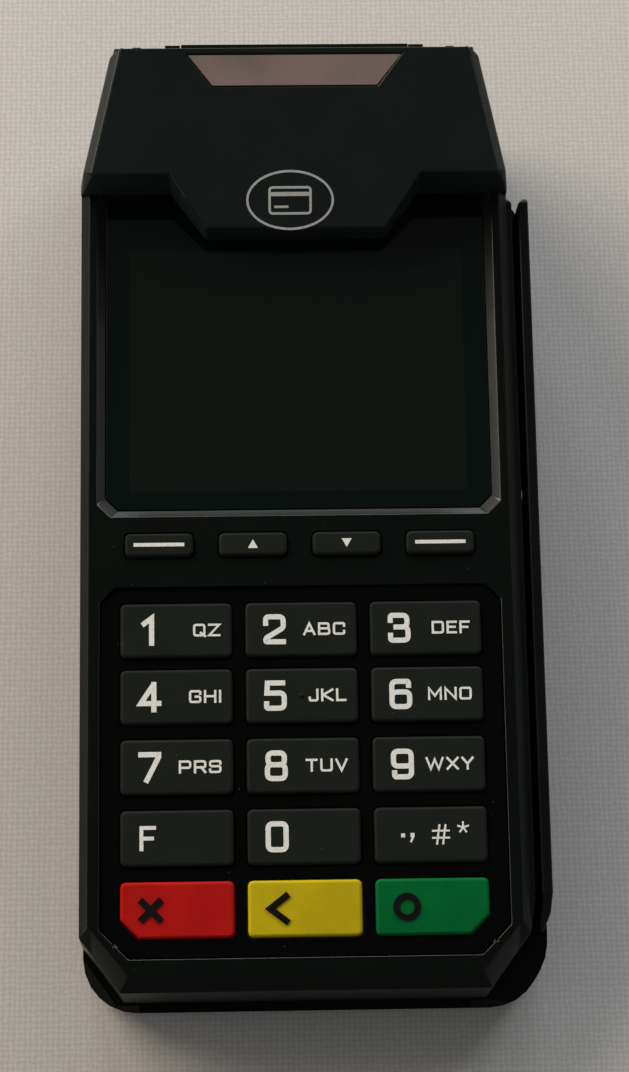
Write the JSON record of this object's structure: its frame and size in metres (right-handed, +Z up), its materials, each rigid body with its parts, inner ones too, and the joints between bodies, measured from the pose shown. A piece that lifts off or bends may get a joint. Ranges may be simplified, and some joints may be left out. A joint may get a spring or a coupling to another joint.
{
  "type": "card payment terminal",
  "caption": "Portable card payment terminal with a keypad, a display, a card slot, a swipe slot and a receipt printer under a sloping hood.",
  "frame": {"origin": "under the middle of the terminal, on the surface that it stands on", "axes": "+Z up, +Y from the keypad end to the printer end, +X to the user's right, where the swipe slot is"},
  "size_m": [0.078, 0.1685, 0.0571],
  "materials": {
    "body_black": "satin moulded plastic",
    "case_black": "satin moulded plastic",
    "bezel_black": "glossy moulded plastic",
    "lens_black": "dark glossy lens",
    "key_grey": "fine matte plastic",
    "key_red": "fine matte plastic",
    "key_yellow": "fine matte plastic",
    "key_green": "fine matte plastic",
    "badge_metal": "rose brown metallic paint",
    "board_green": "solder mask",
    "steel": "plain steel",
    "brass": "gilt contact",
    "rubber": "plain rubber",
    "dark_plastic": "moulded plastic",
    "paper": "thermal paper",
    "card": "grey card",
    "nylon": "natural nylon",
    "battery": "shrink film",
    "flex_amber": "polyimide film"
  },
  "bodies": {
    "terminal": {"upper_housing": "body_black", "hood_cover": "body_black", "badge_plate": "badge_metal", "display_lens": "lens_black", "lcd_module": "dark_plastic", "display_flex": "flex_amber", "keypad_bezel": "bezel_black", "dome_sheet": "steel", "keypad_pcb": "board_green", "main_pcb": "board_green", "smart_card_reader": "dark_plastic", "head_spring": "steel", "swipe_rail": "body_black", "lower_case": "case_black", "battery_pack": "battery", "battery_contacts": "brass", "thermal_head": "steel", "printer_frame": "dark_plastic", "paper_motor": "steel", "door_hinge_pin": "steel", "tear_bar": "steel", "antenna_board": "board_green", "speaker": "dark_plastic", "usb_socket": "steel", "charging_contacts": "brass", "sam_sockets": "steel", "coin_cell": "steel", "case_screws": "steel", "feet": "rubber"},
    "key_menu_left_body": {"key_menu_left": "key_grey"},
    "key_up_body": {"key_up": "key_grey"},
    "key_down_body": {"key_down": "key_grey"},
    "key_menu_right_body": {"key_menu_right": "key_grey"},
    "key_1_body": {"key_1": "key_grey"},
    "key_2_body": {"key_2": "key_grey"},
    "key_3_body": {"key_3": "key_grey"},
    "key_4_body": {"key_4": "key_grey"},
    "key_5_body": {"key_5": "key_grey"},
    "key_6_body": {"key_6": "key_grey"},
    "key_7_body": {"key_7": "key_grey"},
    "key_8_body": {"key_8": "key_grey"},
    "key_9_body": {"key_9": "key_grey"},
    "key_f_body": {"key_f": "key_grey"},
    "key_0_body": {"key_0": "key_grey"},
    "key_symbols_body": {"key_symbols": "key_grey"},
    "key_cancel_body": {"key_cancel": "key_red"},
    "key_clear_body": {"key_clear": "key_yellow"},
    "key_enter_body": {"key_enter": "key_green"},
    "head": {"magstripe_head": "steel"},
    "door": {"paper_door": "body_black"},
    "lever": {"release_lever": "body_black"},
    "platen": {"platen_roller": "rubber", "platen_gear": "nylon"},
    "pinion": {"motor_pinion": "brass"},
    "roll": {"paper_roll": "paper", "paper_core": "card"},
    "cover": {"battery_cover": "case_black"},
    "latch": {"cover_latch": "dark_plastic"},
    "flap": {"usb_flap": "rubber"}
  },
  "joints": [
    {"name": "key_menu_left_press", "type": "slide", "parent": "terminal", "child": "key_menu_left_body", "axis": [0, 0.0872, -0.9962], "range_m": [0, 0.0005], "stiffness_N_per_m": 900, "springref_m": -0.0004},
    {"name": "key_up_press", "type": "slide", "parent": "terminal", "child": "key_up_body", "axis": [0, 0.0872, -0.9962], "range_m": [0, 0.0005], "stiffness_N_per_m": 900, "springref_m": -0.0004},
    {"name": "key_down_press", "type": "slide", "parent": "terminal", "child": "key_down_body", "axis": [0, 0.0872, -0.9962], "range_m": [0, 0.0005], "stiffness_N_per_m": 900, "springref_m": -0.0004},
    {"name": "key_menu_right_press", "type": "slide", "parent": "terminal", "child": "key_menu_right_body", "axis": [0, 0.0872, -0.9962], "range_m": [0, 0.0005], "stiffness_N_per_m": 900, "springref_m": -0.0004},
    {"name": "key_1_press", "type": "slide", "parent": "terminal", "child": "key_1_body", "axis": [0, 0.0872, -0.9962], "range_m": [0, 0.0008], "stiffness_N_per_m": 900, "springref_m": -0.0004},
    {"name": "key_2_press", "type": "slide", "parent": "terminal", "child": "key_2_body", "axis": [0, 0.0872, -0.9962], "range_m": [0, 0.0008], "stiffness_N_per_m": 900, "springref_m": -0.0004},
    {"name": "key_3_press", "type": "slide", "parent": "terminal", "child": "key_3_body", "axis": [0, 0.0872, -0.9962], "range_m": [0, 0.0008], "stiffness_N_per_m": 900, "springref_m": -0.0004},
    {"name": "key_4_press", "type": "slide", "parent": "terminal", "child": "key_4_body", "axis": [0, 0.0872, -0.9962], "range_m": [0, 0.0008], "stiffness_N_per_m": 900, "springref_m": -0.0004},
    {"name": "key_5_press", "type": "slide", "parent": "terminal", "child": "key_5_body", "axis": [0, 0.0872, -0.9962], "range_m": [0, 0.0008], "stiffness_N_per_m": 900, "springref_m": -0.0004},
    {"name": "key_6_press", "type": "slide", "parent": "terminal", "child": "key_6_body", "axis": [0, 0.0872, -0.9962], "range_m": [0, 0.0008], "stiffness_N_per_m": 900, "springref_m": -0.0004},
    {"name": "key_7_press", "type": "slide", "parent": "terminal", "child": "key_7_body", "axis": [0, 0.0872, -0.9962], "range_m": [0, 0.0008], "stiffness_N_per_m": 900, "springref_m": -0.0004},
    {"name": "key_8_press", "type": "slide", "parent": "terminal", "child": "key_8_body", "axis": [0, 0.0872, -0.9962], "range_m": [0, 0.0008], "stiffness_N_per_m": 900, "springref_m": -0.0004},
    {"name": "key_9_press", "type": "slide", "parent": "terminal", "child": "key_9_body", "axis": [0, 0.0872, -0.9962], "range_m": [0, 0.0008], "stiffness_N_per_m": 900, "springref_m": -0.0004},
    {"name": "key_f_press", "type": "slide", "parent": "terminal", "child": "key_f_body", "axis": [0, 0.0872, -0.9962], "range_m": [0, 0.0008], "stiffness_N_per_m": 900, "springref_m": -0.0004},
    {"name": "key_0_press", "type": "slide", "parent": "terminal", "child": "key_0_body", "axis": [0, 0.0872, -0.9962], "range_m": [0, 0.0008], "stiffness_N_per_m": 900, "springref_m": -0.0004},
    {"name": "key_symbols_press", "type": "slide", "parent": "terminal", "child": "key_symbols_body", "axis": [0, 0.0872, -0.9962], "range_m": [0, 0.0008], "stiffness_N_per_m": 900, "springref_m": -0.0004},
    {"name": "key_cancel_press", "type": "slide", "parent": "terminal", "child": "key_cancel_body", "axis": [0, 0.0872, -0.9962], "range_m": [0, 0.0008], "stiffness_N_per_m": 900, "springref_m": -0.0004},
    {"name": "key_clear_press", "type": "slide", "parent": "terminal", "child": "key_clear_body", "axis": [0, 0.0872, -0.9962], "range_m": [0, 0.0008], "stiffness_N_per_m": 900, "springref_m": -0.0004},
    {"name": "key_enter_press", "type": "slide", "parent": "terminal", "child": "key_enter_body", "axis": [0, 0.0872, -0.9962], "range_m": [0, 0.0008], "stiffness_N_per_m": 900, "springref_m": -0.0004},
    {"name": "magstripe_head_float", "type": "slide", "parent": "terminal", "child": "head", "axis": [-1, 0, 0], "range_m": [0, 0.0004], "stiffness_N_per_m": 1200, "springref_m": -0.0003},
    {"name": "paper_door_hinge", "type": "hinge", "parent": "terminal", "child": "door", "pos_m": [-0.0019, 0.0817, 0.01974], "axis": [-1, 0, 0], "range_deg": [0, 88]},
    {"name": "release_lever_pivot", "type": "hinge", "parent": "door", "child": "lever", "pos_m": [-0.0019, 0.07069, 0.0515], "axis": [-1, 0, 0], "range_deg": [0, 12], "stiffness_Nm_per_rad": 0.05, "springref_deg": -5.73},
    {"name": "paper_motor_spin", "type": "hinge", "parent": "terminal", "child": "pinion", "pos_m": [-0.0299, 0.0586, 0.04053], "axis": [1, 0, 0], "continuous": true},
    {"name": "platen_spin", "type": "hinge", "parent": "door", "child": "platen", "pos_m": [-0.0019, 0.06713, 0.04406], "axis": [1, 0, 0], "continuous": true},
    {"name": "paper_roll_spin", "type": "hinge", "parent": "terminal", "child": "roll", "pos_m": [-0.0019, 0.06463, 0.01754], "axis": [1, 0, 0], "continuous": true},
    {"name": "battery_cover_lift", "type": "slide", "parent": "terminal", "child": "cover", "axis": [0, 0.0872, -0.9962], "range_m": [0, 0.012]},
    {"name": "cover_latch_slide", "type": "slide", "parent": "cover", "child": "latch", "axis": [0, 0.9962, 0.0872], "range_m": [0, 0.002]},
    {"name": "usb_flap_hinge", "type": "hinge", "parent": "terminal", "child": "flap", "pos_m": [-0.0381, 0.02358, 0.01626], "axis": [0, -0.9962, -0.0872], "range_deg": [0, 85]}
  ],
  "couplings": [
    {"joint": "paper_motor_spin", "follows": "platen_spin", "ratio": -1.875}
  ]
}
